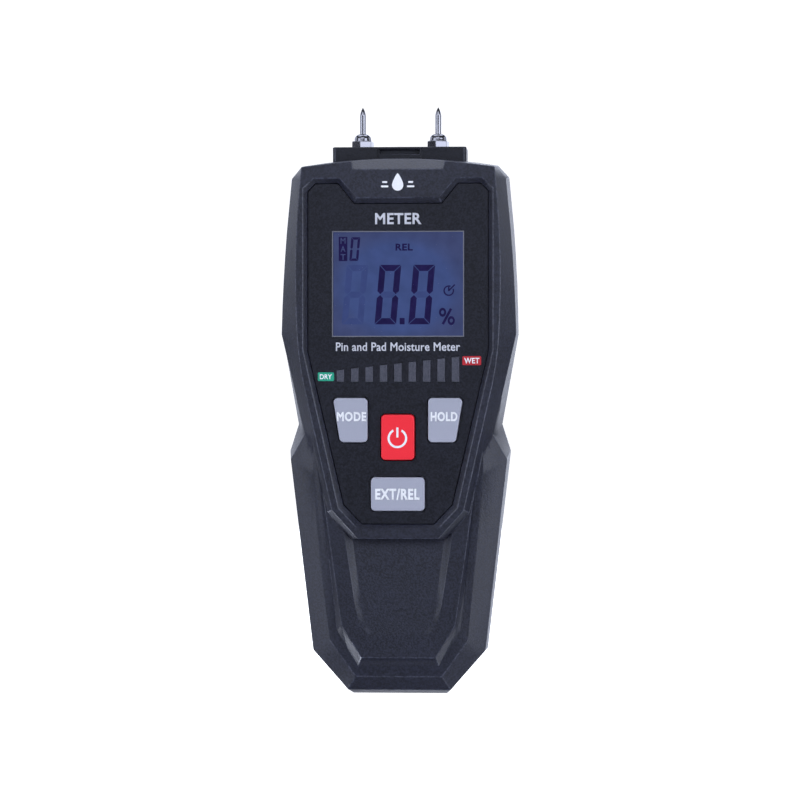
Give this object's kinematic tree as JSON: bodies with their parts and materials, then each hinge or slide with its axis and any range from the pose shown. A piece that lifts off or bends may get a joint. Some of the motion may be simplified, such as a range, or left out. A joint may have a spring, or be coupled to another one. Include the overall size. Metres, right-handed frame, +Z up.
{
  "type": "moisture meter",
  "caption": "Handheld pin-type moisture meter: two-shell body with a tapered grip, lit display, level bars, press keys, probe pins, sensor pad and battery door.",
  "frame": {"origin": "middle of the flat lower end that the meter stands on", "axes": "+Z up along the body to the pins, +X to the right as seen by the user, face towards -Y and sensor pad towards +Y"},
  "size_m": [0.072, 0.038, 0.1783],
  "materials": {
    "body_plastic": "fine-grained moulded black plastic with a slight blue cast",
    "panel_plastic": "smooth dark face panel",
    "key_grey": "soft-touch blue-grey keys",
    "key_red": "soft-touch red power key",
    "lens": "clear display window",
    "display": "liquid crystal cell, blue when lit",
    "light_guide": "milky light guide",
    "bar_clear": "smoked translucent bar windows",
    "zebra": "layered conductive rubber",
    "frame_white": "white moulded display frame",
    "board": "green solder mask",
    "chip": "black package",
    "parts": "small board parts",
    "led": "surface-mount light-emitting diodes",
    "switch": "switch bodies",
    "stem": "switch stems",
    "buzzer": "buzzer case",
    "pin_steel": "polished steel needles",
    "nickel": "nickel-plated nuts",
    "brass": "brass contact parts",
    "jack_black": "black moulded socket collar",
    "screw": "zinc-plated screws",
    "pad": "sensor pad",
    "electrode": "flat electrode",
    "battery": "plain battery case",
    "lead_red": "red insulation",
    "lead_black": "black insulation",
    "lead_white": "white insulation"
  },
  "bodies": {
    "meter": {"front_shell": "body_plastic", "rear_shell": "body_plastic", "head_block": "body_plastic", "face_panel": "panel_plastic", "lcd_lens": "lens", "lcd_glass": "display", "light_guide": "light_guide", "zebra_strips": "zebra", "lcd_frame": "frame_white", "bar_lenses": "bar_clear", "led_row": "led", "main_board": "board", "board_screws": "screw", "controller_chip": "chip", "board_parts": "parts", "buzzer": "buzzer", "tact_switches": "switch", "probe_jack": "jack_black", "pin_left": "pin_steel", "pin_right": "pin_steel", "pin_nut_left": "nickel", "pin_nut_right": "nickel", "pin_socket_left": "brass", "pin_socket_right": "brass", "pin_lead_left": "lead_white", "pin_lead_right": "lead_white", "sensor_pad": "pad", "sensor_plate": "electrode", "sensor_lead": "lead_white", "battery": "battery", "battery_studs": "nickel", "battery_snap": "chip", "battery_lead_red": "lead_red", "battery_lead_black": "lead_black", "shell_screws": "screw"},
    "mode_button": {"mode_key": "key_grey", "mode_stem": "stem"},
    "hold_button": {"hold_key": "key_grey", "hold_stem": "stem"},
    "power_button": {"power_key": "key_red", "power_stem": "stem"},
    "ext_rel_button": {"ext_rel_key": "key_grey", "ext_rel_stem": "stem"},
    "door": {"battery_door": "body_plastic", "door_screw": "screw"}
  },
  "joints": [
    {"name": "mode_press", "type": "slide", "parent": "meter", "child": "mode_button", "axis": [0, 1, 0], "range_m": [0, 0.0008], "stiffness_N_per_m": 1500, "springref_m": -0.0004},
    {"name": "hold_press", "type": "slide", "parent": "meter", "child": "hold_button", "axis": [0, 1, 0], "range_m": [0, 0.0008], "stiffness_N_per_m": 1500, "springref_m": -0.0004},
    {"name": "power_press", "type": "slide", "parent": "meter", "child": "power_button", "axis": [0, 1, 0], "range_m": [0, 0.0008], "stiffness_N_per_m": 1500, "springref_m": -0.0004},
    {"name": "ext_rel_press", "type": "slide", "parent": "meter", "child": "ext_rel_button", "axis": [0, 1, 0], "range_m": [0, 0.0008], "stiffness_N_per_m": 1500, "springref_m": -0.0004},
    {"name": "door_hinge", "type": "hinge", "parent": "meter", "child": "door", "pos_m": [0, 0.0162, 0.0076], "axis": [-1, 0, 0], "range_deg": [0, 75]}
  ]
}
